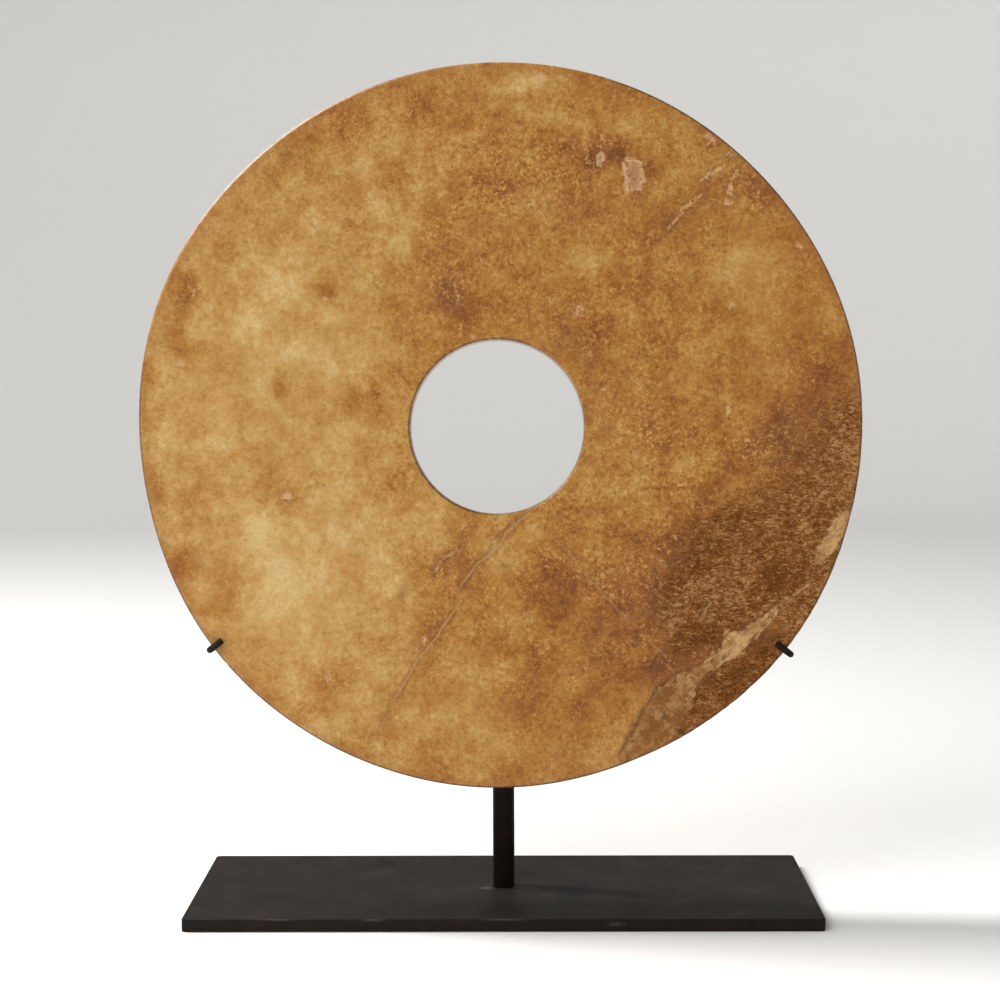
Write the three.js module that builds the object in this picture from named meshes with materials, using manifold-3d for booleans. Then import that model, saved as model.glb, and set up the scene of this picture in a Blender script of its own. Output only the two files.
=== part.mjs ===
// A jade bi disc leaning in its black steel display stand.
// Millimetres, +Z up, and the disc's show side faces -Y. The origin is on the ground, under the middle
// of the base plate.
import * as THREE from "three";
import { mergeVertices } from "three/addons/utils/BufferGeometryUtils.js";
import Module from "manifold-3d";

const clearance = 0.3; // left between pieces that touch

// The disc
const discRadius = 170;
const discThickness = 15;
const discArris = 1.1; // rounding of its four edges
const holeRadius = 40.8;
const holeShiftX = -1.2; // the hole was drilled a little off the middle
const holeShiftZ = -0.4;
const discLean = 4; // degrees back from upright
const discShiftX = -1; // it sits a little left of the post
const discHeight = 54.7; // from the top of the plate to the lowest point of the rim

// The rim was ground by eye. Each wave: how many go round, its height in mm, its crest in degrees.
const rimWaves = [
  { count: 3, height: 0.17, crest: 0 },
  { count: 4, height: 0.31, crest: -25 },
  { count: 5, height: 0.22, crest: 16 },
  { count: 6, height: 0.21, crest: -29 },
  { count: 7, height: 0.25, crest: 11 },
];

// The base plate
const plateWidth = 297;
const plateDepth = 115.5;
const plateThickness = 6;
const plateCornerRadius = 2;
const plateArris = 0.4;

// The post
const postRadius = 5.2;
const postChamfer = 0.6;
const postAboveBar = 10;

// The cross bar, brazed level on the front of the post
const barRadius = 3;
const barChamfer = 0.4;

// The two hooks, of thin rod: a tip over the disc's face, a leg behind it, and a tail brazed under the bar
const rodRadius = 1.5;
const hookReach = 6; // how far the tips lie over the face
const backLegLength = 30; // from the rim inwards
const tailLength = 28;
const legBend = 6; // centre-line radius where a back leg turns into its tail
const leftHookAngle = 37.5; // degrees below level
const rightHookAngle = 38.3;
const leftHookSlack = 0; // how much wider than the rim a hook was bent
const rightHookSlack = 1.2;

// Facets
const rimSteps = 120;
const holeSteps = 60;
const arrisSteps = 3;
const cornerSteps = 4;
const postSteps = 32;
const barSteps = 24;
const rodSides = 12;
const bendSteps = 6;
const tipSteps = 6;

const wasm = await Module();
wasm.setup();

const radians = THREE.MathUtils.degToRad;

// Distance from the disc's middle to its rim, at an angle from +X, turning towards +Z
function rimRadius(angle) {
  return rimWaves.reduce(
    (sum, wave) => sum + wave.height * Math.cos(wave.count * (angle - radians(wave.crest))),
    discRadius,
  );
}

// A flat outline drawn in X and Z, given a thickness about the Y = 0 plane and rounded edges
function slab(shape, thickness, arris, curveSegments, bevelSegments) {
  const geometry = new THREE.ExtrudeGeometry(shape, {
    depth: thickness - 2 * arris,
    bevelThickness: arris,
    bevelSize: arris,
    bevelOffset: -arris,
    bevelSegments,
    curveSegments,
  });
  return geometry.translate(0, 0, arris - thickness / 2);
}

function discGeometry() {
  const outline = [];
  for (let i = 0; i < rimSteps; i += 1) {
    const angle = (2 * Math.PI * i) / rimSteps;
    const radius = rimRadius(angle);
    outline.push(new THREE.Vector2(radius * Math.cos(angle), radius * Math.sin(angle)));
  }
  const shape = new THREE.Shape(outline);
  const hole = new THREE.Path();
  hole.absarc(holeShiftX, holeShiftZ, holeRadius, 0, 2 * Math.PI);
  shape.holes.push(hole);
  // An arc is drawn with two steps for each curve segment
  return slab(shape, discThickness, discArris, holeSteps / 2, arrisSteps).rotateX(Math.PI / 2);
}

function plateGeometry() {
  const x = plateWidth / 2;
  const y = plateDepth / 2;
  const r = plateCornerRadius;
  const shape = new THREE.Shape();
  shape.absarc(x - r, y - r, r, 0, Math.PI / 2);
  shape.absarc(r - x, y - r, r, Math.PI / 2, Math.PI);
  shape.absarc(r - x, r - y, r, Math.PI, 1.5 * Math.PI);
  shape.absarc(x - r, r - y, r, 1.5 * Math.PI, 2 * Math.PI);
  return slab(shape, plateThickness, plateArris, cornerSteps / 2, 1);
}

// A length of round bar about the Y axis, from Y = 0 up, with a chamfer at its ends where one is given
function roundBar(radius, length, startChamfer, endChamfer, steps) {
  const profile = [
    [0, 0],
    [radius - startChamfer, 0],
    [radius, startChamfer],
    [radius, length - endChamfer],
    [radius - endChamfer, length],
    [0, length],
  ].map(([x, y]) => new THREE.Vector2(x, y));
  return new THREE.LatheGeometry(profile, steps);
}

// A rod's centre line through corner points, each corner turned with its own bend radius.
// The stations are where its section is drawn: few on the straights, bendSteps in each bend.
class RodLine extends THREE.Curve {
  constructor(start, corners, end) {
    super();
    this.stations = [start];
    corners.forEach(({ point, bend }, i) => {
      const before = i > 0 ? corners[i - 1].point : start;
      const after = i < corners.length - 1 ? corners[i + 1].point : end;
      const inward = before.clone().sub(point).normalize();
      const outward = after.clone().sub(point).normalize();
      const half = inward.angleTo(outward) / 2;
      const middle = inward.clone().add(outward).normalize();
      const centre = point.clone().addScaledVector(middle, bend / Math.sin(half));
      const axis = outward.clone().cross(inward).normalize();
      const spoke = point.clone().addScaledVector(inward, bend / Math.tan(half)).sub(centre);
      for (let step = 0; step <= bendSteps; step += 1) {
        const turn = ((Math.PI - 2 * half) * step) / bendSteps;
        this.stations.push(spoke.clone().applyAxisAngle(axis, turn).add(centre));
      }
    });
    this.stations.push(end);
  }

  get steps() {
    return this.stations.length - 1;
  }

  getPoint(t, target = new THREE.Vector3()) {
    const place = t * this.steps;
    const index = Math.min(Math.floor(place), this.steps - 1);
    return target.lerpVectors(this.stations[index], this.stations[index + 1], place - index);
  }

  // A section stands square to the middle of its bend, so the tangent looks to both sides of a station
  getTangent(t, target = new THREE.Vector3()) {
    const index = Math.round(t * this.steps);
    const ahead = this.stations[Math.min(index + 1, this.steps)].clone().sub(this.stations[index]);
    const behind = this.stations[index].clone().sub(this.stations[Math.max(index - 1, 0)]);
    return target.copy(ahead.normalize()).add(behind.normalize()).normalize();
  }

  getUtoTmapping(u) {
    return u;
  }
}

function solidOf(geometry) {
  geometry.deleteAttribute("normal");
  geometry.deleteAttribute("uv");
  const merged = mergeVertices(geometry);
  return new wasm.Manifold(
    new wasm.Mesh({
      numProp: 3,
      vertProperties: new Float32Array(merged.attributes.position.array),
      triVerts: new Uint32Array(merged.index.array),
    }),
  );
}

function geometryOf(solid) {
  const { vertProperties, triVerts } = solid.getMesh();
  const geometry = new THREE.BufferGeometry();
  geometry.setAttribute("position", new THREE.BufferAttribute(vertProperties, 3));
  geometry.setIndex(new THREE.BufferAttribute(triVerts, 1));
  geometry.computeVertexNormals();
  return geometry;
}

// A rod along a line, with a rounded tip at its start
function rodGeometry(line) {
  const section = new THREE.Shape();
  section.absarc(0, 0, rodRadius, 0, 2 * Math.PI);
  const rod = new THREE.ExtrudeGeometry(section, {
    steps: line.steps,
    extrudePath: line,
    curveSegments: rodSides / 2,
  });
  const tip = new THREE.SphereGeometry(rodRadius, rodSides, tipSteps).translate(...line.stations[0]);
  return geometryOf(solidOf(rod).add(solidOf(tip)));
}

// Where the cradle runs, seen from the disc's middle
const rodFromFace = discThickness / 2 + clearance + rodRadius;
const barFromFace = discThickness / 2 + clearance + barRadius;
const edgeBend = discArris + clearance + rodRadius; // the hooks follow the rounded edges
const tailDrop = (discRadius - backLegLength) * Math.sin(radians((leftHookAngle + rightHookAngle) / 2));
const tailFromBar = rodRadius + clearance + barRadius;
const barDrop = tailDrop - Math.sqrt(tailFromBar ** 2 - (barFromFace - rodFromFace) ** 2);

// How far from the middle a hook turns into its tail, which is also how far the bar reaches
function turnOut(degrees) {
  return tailDrop / Math.tan(radians(degrees));
}

function hookGeometry(side, degrees, slack) {
  const angle = radians(degrees);
  const rim = rimRadius(side < 0 ? Math.PI + angle : -angle);
  const outside = rim + slack + clearance + rodRadius;
  const at = (radius, y) =>
    new THREE.Vector3(side * radius * Math.cos(angle), y, -radius * Math.sin(angle));
  const tip = at(rim - hookReach + rodRadius, -rodFromFace);
  const turn = new THREE.Vector3(side * turnOut(degrees), rodFromFace, -tailDrop);
  const tailEnd = turn.clone().setX(turn.x - side * tailLength);
  const corners = [
    { point: at(outside, -rodFromFace), bend: edgeBend },
    { point: at(outside, rodFromFace), bend: edgeBend },
    { point: turn, bend: legBend },
  ];
  return rodGeometry(new RodLine(tip, corners, tailEnd));
}

function barGeometry() {
  const length = turnOut(leftHookAngle) + turnOut(rightHookAngle);
  return roundBar(barRadius, length, barChamfer, barChamfer, barSteps)
    .rotateZ(-Math.PI / 2)
    .translate(-turnOut(leftHookAngle), barFromFace, -barDrop);
}

// The disc's middle in the stand's frame: its rim is discHeight over the plate, and the bar, which lies
// on the back of the disc, also lies on the front of the post.
const lean = radians(discLean);
const discMiddle = new THREE.Vector3(
  discShiftX,
  barDrop * Math.sin(lean) - barFromFace * Math.cos(lean) - postRadius - clearance - barRadius,
  plateThickness + discHeight + discRadius * Math.cos(lean) + (discThickness / 2) * Math.sin(lean),
);
const barHeight = discMiddle.z - barDrop * Math.cos(lean) - barFromFace * Math.sin(lean);

const jade = new THREE.MeshStandardMaterial({ name: "jade", color: 0xb78645, roughness: 0.45 });
const blackSteel = new THREE.MeshStandardMaterial({
  name: "black_steel",
  color: 0x26231f,
  roughness: 0.5,
  metalness: 0.6,
});

const object = new THREE.Group();

function piece(name, geometry, material, parent) {
  const mesh = new THREE.Mesh(geometry, material);
  mesh.name = name;
  parent.add(mesh);
  return mesh;
}

piece("base_plate", plateGeometry(), blackSteel, object).position.z = plateThickness / 2;
const postHeight = barHeight + postAboveBar - plateThickness;
const postGeometry = roundBar(postRadius, postHeight, 0, postChamfer, postSteps).rotateX(Math.PI / 2);
piece("post", postGeometry, blackSteel, object).position.z = plateThickness;

// What leans: the disc, and the cradle that holds it
const leaning = new THREE.Group();
leaning.position.copy(discMiddle);
leaning.rotation.x = -lean;
object.add(leaning);
piece("disc", discGeometry(), jade, leaning);
piece("cross_bar", barGeometry(), blackSteel, leaning);
piece("left_hook", hookGeometry(-1, leftHookAngle, leftHookSlack), blackSteel, leaning);
piece("right_hook", hookGeometry(1, rightHookAngle, rightHookSlack), blackSteel, leaning);

export default object;
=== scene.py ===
# A jade bi disc leaning in its black steel stand.
# Sizes are in millimetres and angles in degrees unless a note says otherwise. +Z is up, and the disc's
# show side faces -Y.
import functools
import math

import bmesh
import bpy
import numpy as np
from mathutils import Matrix, Vector, noise


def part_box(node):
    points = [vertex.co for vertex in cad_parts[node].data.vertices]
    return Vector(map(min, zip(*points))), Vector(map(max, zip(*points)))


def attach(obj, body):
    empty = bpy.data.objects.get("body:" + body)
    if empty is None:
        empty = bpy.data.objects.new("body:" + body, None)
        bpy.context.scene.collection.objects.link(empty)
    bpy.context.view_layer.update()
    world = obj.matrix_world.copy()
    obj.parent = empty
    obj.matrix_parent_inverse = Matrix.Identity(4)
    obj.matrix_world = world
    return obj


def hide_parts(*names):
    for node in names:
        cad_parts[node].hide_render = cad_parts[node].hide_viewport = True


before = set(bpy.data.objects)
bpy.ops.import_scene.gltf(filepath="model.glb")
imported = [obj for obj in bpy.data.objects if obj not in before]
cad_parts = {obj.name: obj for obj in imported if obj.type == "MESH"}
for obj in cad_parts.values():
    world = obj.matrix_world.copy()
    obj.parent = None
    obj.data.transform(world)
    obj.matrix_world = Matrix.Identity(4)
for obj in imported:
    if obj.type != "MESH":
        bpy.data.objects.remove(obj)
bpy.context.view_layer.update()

mm = 0.001  # Blender's metres in a millimetre
noise.seed_set(3)  # so that every run draws the same outlines


# Helpers

def linear(hexColour):
    # An sRGB hex colour as linear red, green, blue and alpha
    channels = [int(hexColour[i:i + 2], 16) / 255 for i in (0, 2, 4)]
    return [c / 12.92 if c <= 0.04045 else ((c + 0.055) / 1.055) ** 2.4 for c in channels] + [1.0]


def addNode(tree, kind, settings=None, inputs=None, stops=None):
    # Adds a shader node. An input is a value, another node's first output in use, or an output socket.
    node = tree.nodes.new("ShaderNode" + kind)
    for name, value in (settings or {}).items():
        setattr(node, name, value)
    for key, value in (inputs or {}).items():
        if isinstance(value, bpy.types.Node):
            value = next(output for output in value.outputs if output.enabled)
        if isinstance(value, bpy.types.NodeSocket):
            tree.links.new(value, node.inputs[key])
        else:
            node.inputs[key].default_value = value
    for index, (position, colour) in enumerate(stops or []):
        elements = node.color_ramp.elements
        element = elements[index] if index < len(elements) else elements.new(position)
        element.position = position
        element.color = linear(colour)
    return node


# Settings that many nodes share
plus = {"operation": "ADD"}
times = {"operation": "MULTIPLY"}
timesPlus = {"operation": "MULTIPLY_ADD"}
texture = {"vector_type": "TEXTURE"}
softStep = {"interpolation_type": "SMOOTHSTEP"}
mixColours = {"data_type": "RGBA"}


def startMaterial(name):
    # A material without nodes, and the function that adds nodes to it
    material = bpy.data.materials.new(name)
    material.use_nodes = True
    material.node_tree.nodes.clear()
    return material, functools.partial(addNode, material.node_tree)


def bevel(bm, geom, offset, segments, affect="EDGES"):
    bmesh.ops.bevel(bm, geom=geom, offset=offset, offset_type="OFFSET", segments=segments, profile=0.5,
                    affect=affect, material=-1)


def addObject(name, data):
    piece = bpy.data.objects.new(name, data)
    bpy.context.scene.collection.objects.link(piece)
    return piece


def finishPiece(bm, name, material, node):
    # Closes a bmesh up, and makes it the object that stands for a node of the frame
    bmesh.ops.remove_doubles(bm, verts=bm.verts, dist=0.001 * mm)
    bmesh.ops.recalc_face_normals(bm, faces=bm.faces)
    mesh = bpy.data.meshes.new(name)
    bm.to_mesh(mesh)
    bm.free()
    mesh.shade_smooth()
    mesh.materials.append(material)
    piece = addObject(name, mesh)
    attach(piece, "root")
    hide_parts(node)
    print("made", name, "with", len(mesh.polygons), "faces")
    return piece


def keepFlats(piece):
    # Lets the rounded edges shade smoothly while the flat faces stay flat
    modifier = piece.modifiers.new("flats", "WEIGHTED_NORMAL")
    modifier.weight = 100
    modifier.keep_sharp = False


# The disc

disc = {
    "radius": 170,
    "thickness": 15,
    "arris": 1.1,  # rounding of its four edges
    "holeRadius": 40.8,
    "holeShift": (-1.2, -0.4),  # the hole was drilled a little off the middle
    "lean": 4,
    "middleX": -1,
    # The rim was ground by eye. Each wave: how many go round, its height, the angle of its crest.
    "rimWaves": [(3, 0.17, 0), (4, 0.31, -25), (5, 0.22, 16), (6, 0.21, -29), (7, 0.25, 11)],
    "stepsAround": 600,
    "frontRings": 98,
    "backRings": 18,
    "edgeRings": 7,
    "arrisSteps": 4,
    "undulation": 0.12,  # how far the hand-ground faces wander
    "undulationSize": 45,
    "crustRelief": 0.22,
    "crustGrain": 4,
    "veinDepth": 0.15,
    "seamDepth": 0.15,
    "seamHalfWidth": 0.9,
    "chipDepth": 0.6,
    "chipBand": 9,  # spots this near to the rim are chips
    "backShare": 0.5,  # how strongly the markings show through on the back
    "veinLoss": 6,  # how much narrower the veins would be where nothing shows through
    "seamFade": 6,  # over how far from its ends a crack fades
    # Painted shade: a dark line along the edges turned away from the key light. It is missing around one
    # direction at the rim, and lies only around another one at the hole: the direction, the cosine off it
    # where the line ends, and how softly it ends
    "rimShadeGap": (120, 0.72, 0.15),
    "holeShade": (160, -0.25, 0.3),
}

clearance = 0.3  # left between the pieces

cradle = {  # the bar behind the disc, and the two hooks
    "rodRadius": 1.5,
    "reach": 6,  # how far the tips lie over the face
    "backLeg": 30,  # from the rim inwards
    "tail": 28,
    "legBend": 6,
    "angles": {"left": 37.5, "right": 38.3},  # below level
    "slack": {"left": 0, "right": 1.2},  # how much wider than the rim a hook was bent
    "barRadius": 3,
    "barRounding": 0.4,
    "tipRounding": 0.55,
    "rodSides": 24,
    "bendSteps": 12,
    "barSides": 48,
}
roundingSteps = 3  # in the rounded ends of the post, the bar and the rods

rodFromFace = disc["thickness"] / 2 + clearance + cradle["rodRadius"]
barFromFace = disc["thickness"] / 2 + clearance + cradle["barRadius"]
meanAngle = math.radians(sum(cradle["angles"].values()) / 2)
tailDrop = (disc["radius"] - cradle["backLeg"]) * math.sin(meanAngle)
tailFromBar = cradle["rodRadius"] + clearance + cradle["barRadius"]
barDrop = tailDrop - math.sqrt(tailFromBar ** 2 - (barFromFace - rodFromFace) ** 2)

# The disc's middle follows from the bar, which lies across its back
leanTurn = Matrix.Rotation(-math.radians(disc["lean"]), 4, "X")
barMiddle = sum(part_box("cross_bar"), Vector()) / 2 / mm
discMiddle = barMiddle - leanTurn @ Vector((0, barFromFace, -barDrop))
discMiddle.x = disc["middleX"]
leaning = Matrix.Scale(mm, 4) @ Matrix.Translation(discMiddle) @ leanTurn


def rimRadius(angle):
    # Distance from the disc's middle to its rim, at an angle in radians from +X towards +Z
    return disc["radius"] + sum(
        height * np.cos(count * (angle - math.radians(crest))) for count, height, crest in disc["rimWaves"]
    )


# What the stone shows, in its own frame: x to the right, z up, from the disc's middle.
# Soft spots are place x and z, half width, half height, turn, strength.
markings = {
    "patinaBase": 0.50,  # 0 is the palest honey, 1 the darkest brown
    "patina": [
        # broad areas: the left paler and the right darker, partly the stone's own tone and partly painted
        # light falling off from the left
        (-110, -5, 85, 150, 0, -0.30), (-105, 62, 42, 45, 0, -0.07), (-85, -78, 62, 42, 0, -0.20),
        (105, -85, 60, 55, 30, 0.33), (152, 0, 36, 60, 0, 0.22), (-20, -138, 60, 32, 0, -0.16),
        (118, 66, 34, 32, 0, -0.12), (-60, 118, 22, 18, 0, -0.12), (-100, 122, 22, 14, 35, 0.16),
        # blooms above and right of the hole
        (-21, 59, 17, 15, 0, 0.42), (-28, 88, 16, 14, 0, 0.12), (-40, 42, 10, 12, 0, 0.14),
        (10, 114, 26, 14, 0, 0.16), (36, 102, 16, 14, 0, 0.20), (52, 126, 24, 15, 0, 0.24),
        (44, 122, 6, 9, 0, 0.30), (56, 125, 6, 7, 0, 0.34), (66, 110, 9, 7, 0, 0.34),
        (72, 119, 5, 8, 0, 0.24), (82, 98, 18, 12, 35, 0.22), (100, 110, 12, 10, 0, 0.22),
        (122, 110, 18, 10, -40, 0.26), (101, 82, 6, 5, 0, 0.20), (60, 83, 8, 6, 0, 0.14),
        (70, 90, 7, 6, 0, 0.16), (34, 34, 26, 18, -40, 0.24), (40, 80, 12, 12, 0, -0.20),
        (76, 60, 18, 12, 0, 0.08),
        # left
        (-101, 16, 5, 6, 0, 0.38), (-69, 12, 8, 8, 0, 0.20), (-58, 14, 3, 10, 0, 0.38),
        (-81, 63, 8, 6, 0, 0.26), (-104, -32, 20, 11, 0, 0.34), (-100, 0, 34, 22, 0, 0.10),
        (-150, 62, 9, 20, 0, 0.30), (-147, 36, 9, 7, 0, 0.22), (-161, -30, 7, 12, 0, 0.30),
        (-152, -66, 8, 14, -20, 0.45), (-140, -32, 14, 14, 0, 0.16), (-130, -82, 12, 18, 0, 0.20),
        (-113, -101, 8, 6, 0, 0.16), (-81, -119, 13, 10, 0, 0.28), (-81, -135, 5, 4, 0, 0.22),
        (-58, -147, 16, 6, 15, 0.22), (-97, 22, 12, 10, 0, 0.20), (-128, 78, 16, 20, 0, 0.12),
        (-58, 138, 14, 12, 0, 0.16), (-60, -99, 13, 12, 0, 0.18), (-142, 44, 10, 8, 0, -0.20),
        (-80, 56, 12, 9, 0, -0.16), (-44, 84, 12, 14, 0, -0.18), (-20, 139, 14, 10, 0, -0.18),
        (12, 162, 22, 8, 0, -0.20), (-158, -2, 9, 12, 0, -0.16), (-139, -78, 9, 9, 0, -0.20),
        (-38, -42, 12, 10, 0, -0.22), (-78, -142, 12, 8, 0, -0.14),
        # along the long crack
        (-20, -62, 15, 15, 0, 0.34), (-24, -92, 14, 22, -35, 0.16), (-44, -125, 12, 20, -35, 0.10),
        # lower right
        (26, -78, 18, 26, 0, 0.36), (66, -52, 22, 14, 30, 0.14), (88, -60, 26, 14, 35, 0.16),
        (52, -118, 20, 14, 0, 0.10), (4, -60, 14, 14, 0, -0.10), (118, -118, 34, 10, 42, 0.20),
        (120, -100, 16, 14, 0, 0.24), (88, -124, 22, 18, 0, 0.20), (50, -98, 20, 14, 0, 0.22),
        (14, -134, 26, 15, 0, 0.18), (66, -142, 22, 12, 20, 0.16), (104, -78, 10, 9, 0, -0.16),
        (61, 34, 13, 16, 0, 0.14), (130, 2, 18, 16, 0, 0.14), (26, 98, 20, 14, 0, 0.10),
        (138, 58, 12, 14, 0, 0.12), (136, 84, 9, 10, 0, -0.10), (162, -8, 9, 16, 0, -0.12),
        # fine tuning of the tones, area by area
        (105, -10, 90, 150, 0, 0.05), (-100, 30, 70, 120, 0, -0.05), (-42, 92, 15, 24, 0, -0.18),
        (-48, 134, 24, 14, 15, -0.15), (34, 143, 40, 10, -10, -0.18), (-100, 112, 16, 16, 0, -0.12),
        (-62, 32, 14, 20, 0, -0.18), (-80, -60, 14, 14, 0, -0.10), (-92, -121, 20, 13, 0, -0.17),
        (-52, -42, 18, 12, 0, -0.09), (-60, -141, 10, 10, 0, 0.12), (40, 42, 12, 12, 0, 0.10),
        (136, 4, 28, 30, 0, 0.12), (116, -24, 16, 14, 0, 0.12), (114, 79, 18, 15, 0, -0.20),
        (98, 40, 14, 12, 0, -0.13), (-142, 30, 14, 18, 0, -0.10), (-122, 84, 14, 14, 0, -0.10),
        (-38, -84, 15, 15, 0, -0.13), (-19, -58, 14, 10, 0, -0.09), (-90, 18, 18, 12, 0, 0.09),
        (-122, 0, 14, 13, 0, 0.09), (80, 0, 12, 12, 0, -0.14), (70, -60, 20, 11, 0, 0.06),
        (20, -90, 20, 14, 0, 0.07), (50, -105, 42, 14, 0, 0.06), (155, 8, 14, 24, 0, 0.06),
        (20, -122, 42, 30, 0, 0.13), (70, -86, 24, 28, 20, 0.15), (92, 110, 18, 14, 0, 0.06),
        (-110, -10, 24, 40, 0, 0.06), (140, 40, 14, 12, 0, -0.07), (-64, -130, 36, 20, 0, -0.08),
        (-40, -120, 10, 12, 0, -0.06), (-18, -60, 12, 12, 0, -0.07), (60, 141, 14, 10, 0, -0.09),
        (-44, 118, 24, 28, 0, -0.07), (-80, 80, 14, 12, 0, -0.07), (20, 160, 16, 8, 0, -0.08),
        (-104, 110, 16, 16, 0, -0.05), (0, 100, 10, 12, 0, -0.05), (118, 98, 12, 10, 0, -0.04),
        (94, -44, 16, 12, 0, -0.06), (0, -92, 12, 14, 0, -0.04), (76, -116, 9, 11, -30, 0.22),
    ],
    # where the stone is more mottled than elsewhere, or less
    "mottle": [
        (-5, 118, 75, 42, 0, 0.30), (72, -12, 34, 40, 0, 0.28), (-105, -92, 70, 60, 0, -0.32),
        (-110, 10, 70, 90, 0, -0.25), (132, 58, 36, 44, 0, -0.25), (0, -140, 62, 30, 0, -0.25),
    ],
    # mauve and reddish blooms
    "mauve": [
        (-22, 58, 15, 14, 0, 0.9), (-98, 127, 26, 10, 30, 0.6), (36, 36, 26, 14, -40, 0.6),
        (43, 25, 6, 5, 0, 0.5), (49, 17, 5, 4, 0, 0.9), (37, 54, 8, 9, 0, 0.5),
        (-18, -52, 12, 10, 0, 0.6), (-24, -64, 8, 8, 0, 0.5), (124, 108, 16, 12, -40, 0.8),
        (62, 118, 6, 8, 0, 0.8), (88, -60, 20, 14, 35, 0.2), (60, -70, 30, 24, 20, 0.15),
        (-100, -33, 12, 10, 0, 0.5), (-81, -118, 8, 8, 0, 0.5), (-81, 62, 6, 5, 0, 0.5),
        (106, -122, 26, 9, 42, 0.6), (-53, -136, 8, 10, -20, 0.5), (-155, 46, 10, 12, 0, 0.5),
        (35, -150, 30, 14, 0, 0.3),
    ],
    # orange-brown stain, mostly along the rim
    "rust": [
        (-158, 50, 10, 30, 15, 0.7), (-163, -20, 8, 40, 0, 0.5), (-148, -68, 12, 26, -25, 0.9),
        (-128, -84, 16, 22, 0, 0.35), (-40, 12, 10, 14, 0, 0.4), (-42, -14, 9, 16, 0, 0.5),
        (138, 24, 22, 30, 0, 0.7), (160, 0, 12, 40, 0, 0.6), (148, 62, 12, 24, 25, 0.4),
        (128, -100, 16, 18, 0, 0.4), (142, -80, 14, 22, -30, 0.4), (30, -36, 12, 10, 30, 0.4),
        (100, -10, 34, 22, 20, 0.4), (72, -74, 30, 34, 10, 0.4), (44, -128, 34, 26, 0, 0.3),
    ],
    # pale spots, tan chips and short pale streaks
    "pale": [
        (47.6, 125, 3.6, 6.4, 0, 1.2), (59.8, 123.0, 4.9, 4.8, 0, 0.8), (65.0, 122.4, 4.9, 4.8, 0, 0.8),
        (59.8, 117.6, 4.9, 4.8, 0, 0.8), (65.2, 117.2, 4.9, 4.8, 0, 0.8),
        (60.6, 112.4, 4.9, 4.8, 0, 0.8), (64.8, 112.0, 4.9, 4.8, 0, 0.8), (62.8, 118, 3.6, 5, 0, 0.5),
        (-100, -33, 4.6, 3.6, 0, 0.9), (-81, -118, 4, 5, 0, 0.72), (99, 134, 7, 4, -40, 0.9),
        (19, 163, 8, 4.5, -15, 0.85), (107, 104, 4, 3, 0, 0.8), (109, 56, 6, 4, 30, 0.75),
        (140, 84, 3.4, 2.2, -50, 0.95), (107, 7, 2.6, 5, -10, 0.8), (-81, 60, 4, 3.4, 0, 0.7),
        (37, 54, 4, 7, -30, 0.7), (25, 59, 5, 5, 0, 0.65), (49, 17, 3, 2.4, 0, 0.75),
        (-129, -111, 3, 2, -40, 0.9), (-123, -117, 4.4, 2, -45, 0.9), (-16, -47, 9, 1.4, 25, 0.8),
        (-30, -67, 5, 1.6, 60, 0.7), (-36, -100, 3.4, 3.4, 0, 0.8), (-44, -82, 3.0, 3.0, 0, 0.7),
        (-150, 30, 6, 4, 0, 0.7), (-143, 63, 4, 6, 0, 0.6),
    ],
    # where the ground surface is lost and the coarse, dark, felted grain shows
    "crust": [
        (128, -50, 50, 34, 30, 1.1), (162, -5, 23, 40, 0, 0.9), (152, -60, 24, 30, 0, 0.7),
        (106, -80, 36, 26, 40, 1.0), (116, -120, 42, 15, 42, 1.2), (94, -140, 26, 13, 42, 1.0),
        (146, -88, 22, 24, 0, 0.9), (90, -100, 18, 14, 45, 0.6), (148, 22, 16, 14, 0, 0.15),
        (84, -82, 22, 26, 30, 0.5), (92, -46, 26, 20, 30, 0.25), (101, -119, 14, 8, 42, 0.5),
        (-150, 60, 9, 16, 0, 0.5),
    ],
    # where that felt is paler, or darker
    "paleFelt": [
        (158, -14, 18, 44, 0, 0.9), (82, -86, 18, 20, -30, 1.0), (112, -86, 16, 12, 20, 0.5),
        (104, -62, 16, 12, 30, -0.1), (132, -72, 16, 12, 40, -0.5), (98, -100, 12, 8, 40, -0.7),
        (112, -120, 30, 10, 42, -0.4), (150, -76, 12, 14, 0, 0.3), (99, -76, 13, 14, 0, 0.7),
        (120, -40, 12, 12, 0, 0.35), (141, -20, 11, 12, 0, 0.3), (86, -111, 10, 5, 30, -0.6),
        (100, -122, 12, 6, 42, -0.3),
    ],
    # the tan vein near the rim: place x and z, half width, how pale
    "veins": [
        [
            (162.5, -42, 3.2, 1.0), (158.5, -49, 3.7, 1.0), (153.5, -56, 3.3, 0.9), (149.5, -62, 2.4, 0.9),
            (146, -69, 1.3, 0.8), (142, -75, 0.6, 0.7), (138, -80, 0.1, 0.7), (132, -84, 0.9, 0.9),
            (128, -88, 1.5, 0.9), (122.5, -93, 2.4, 0.8), (116, -98.5, 3.3, 0.8), (109.5, -103.5, 5.6, 0.9),
            (103, -109, 3.0, 0.8), (96, -114, 2.8, 0.55), (88, -120, 5.0, 0.4), (82, -127, 8.0, 0.25),
            (78.5, -136, 8.6, 0.2), (72, -145, 8.0, 0.15), (63, -155, 5.6, 0.2),
        ],
        [(73, -129, 0.3, 0.9), (68, -139, 1.2, 0.8), (63, -147, 1.2, 0.7), (58.5, -154, 1.4, 0.6)],
    ],
    # thin tan streaks, given the same way
    "streaks": [
        [(74, 85, -0.3, 0.4), (78.5, 90.4, 0.1, 0.6), (83, 97, 0.5, 0.8), (87, 101.6, 0.8, 0.9),
         (91, 105, 0.5, 0.8), (95.5, 108.5, 0.0, 0.7)],
        [(93.5, 113.8, -0.1, 0.9), (97, 115.8, 0.6, 1.0), (101, 118.2, 0.9, 1.0), (106, 121, 0.0, 0.9)],
        [(112, 120, 0.5, 0.9), (110.8, 116.6, 0.7, 0.9), (108.4, 114.5, 0.4, 0.8), (108.4, 111.2, 0.8, 0.9),
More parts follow.
